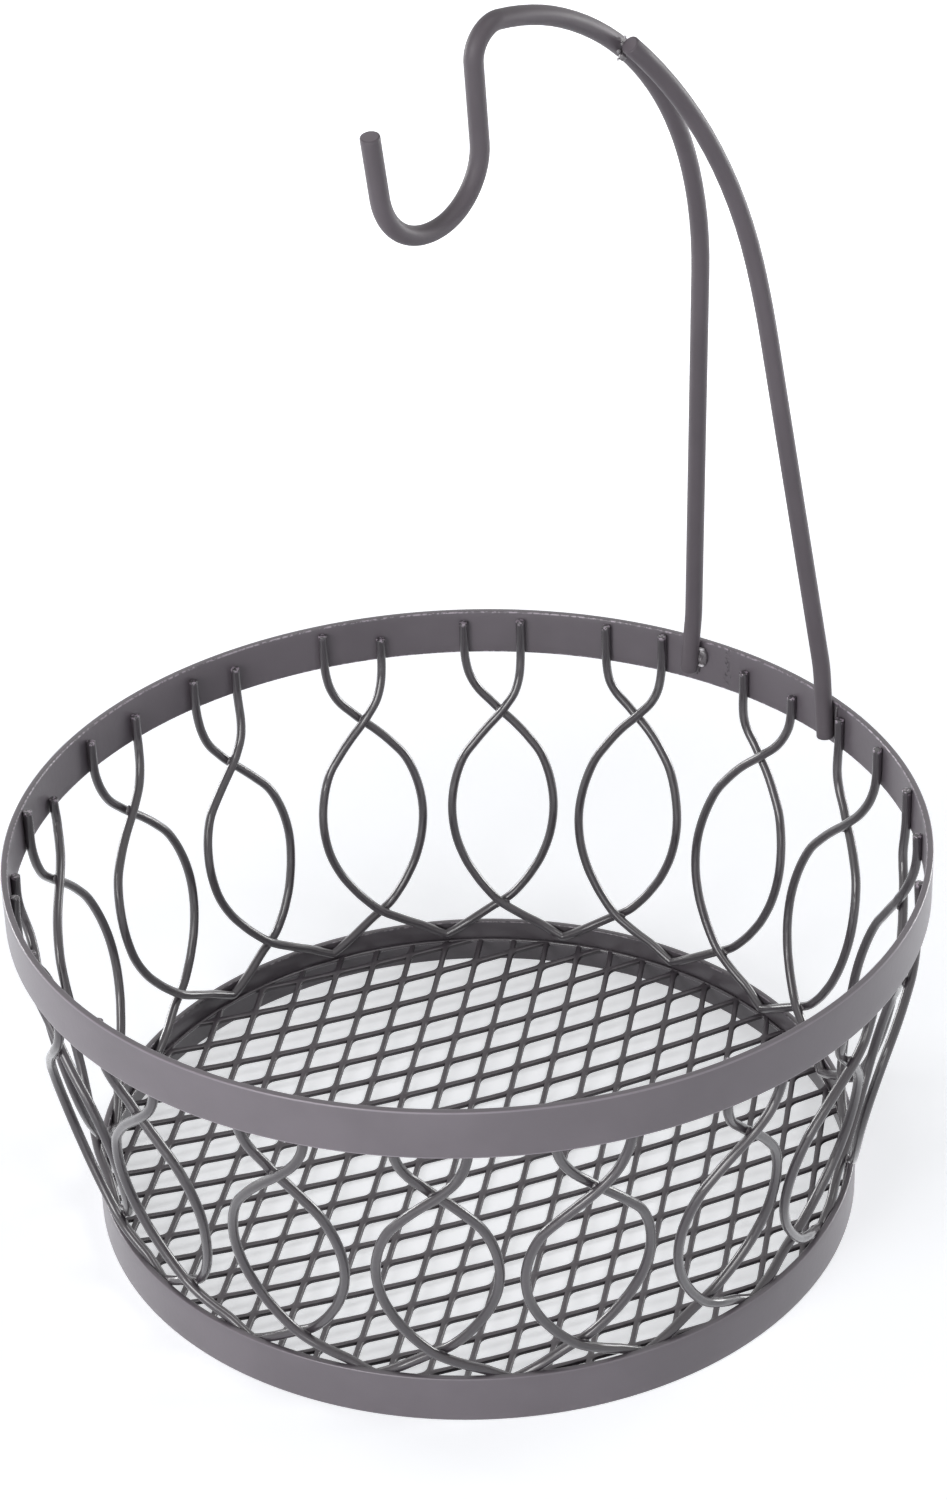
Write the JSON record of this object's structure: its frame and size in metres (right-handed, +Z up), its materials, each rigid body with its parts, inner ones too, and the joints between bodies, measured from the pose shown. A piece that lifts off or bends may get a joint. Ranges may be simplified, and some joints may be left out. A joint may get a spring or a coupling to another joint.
{
  "type": "fruit basket with banana hook",
  "caption": "Round open fruit basket of painted steel strip and bent wire, with a mesh floor and a curved arm that holds a banana hook over the middle.",
  "frame": {"origin": "on the ground under the middle of the basket, at the lower edge of the base band", "axes": "+Z up; +Y from the middle of the basket towards the arm's two legs; +X to the right of the arm as seen from the hook's tip side"},
  "size_m": [0.27, 0.27, 0.3662],
  "materials": {
    "strip_paint": "satin",
    "rod_paint": "satin",
    "wire_paint": "satin",
    "mesh_paint": "satin",
    "weld_paint": "gloss"
  },
  "bodies": {
    "root": {"rim_band": "strip_paint", "base_band": "strip_paint", "mesh_floor": "mesh_paint", "hook_rod": "rod_paint", "brace_rod": "rod_paint", "weld_beads": "weld_paint", "side_wire_01": "wire_paint", "side_wire_02": "wire_paint", "side_wire_03": "wire_paint", "side_wire_04": "wire_paint", "side_wire_05": "wire_paint", "side_wire_06": "wire_paint", "side_wire_07": "wire_paint", "side_wire_08": "wire_paint", "side_wire_09": "wire_paint", "side_wire_10": "wire_paint", "side_wire_11": "wire_paint", "side_wire_12": "wire_paint", "side_wire_13": "wire_paint", "side_wire_14": "wire_paint", "side_wire_15": "wire_paint", "side_wire_16": "wire_paint", "side_wire_17": "wire_paint", "side_wire_18": "wire_paint"}
  },
  "joints": []
}
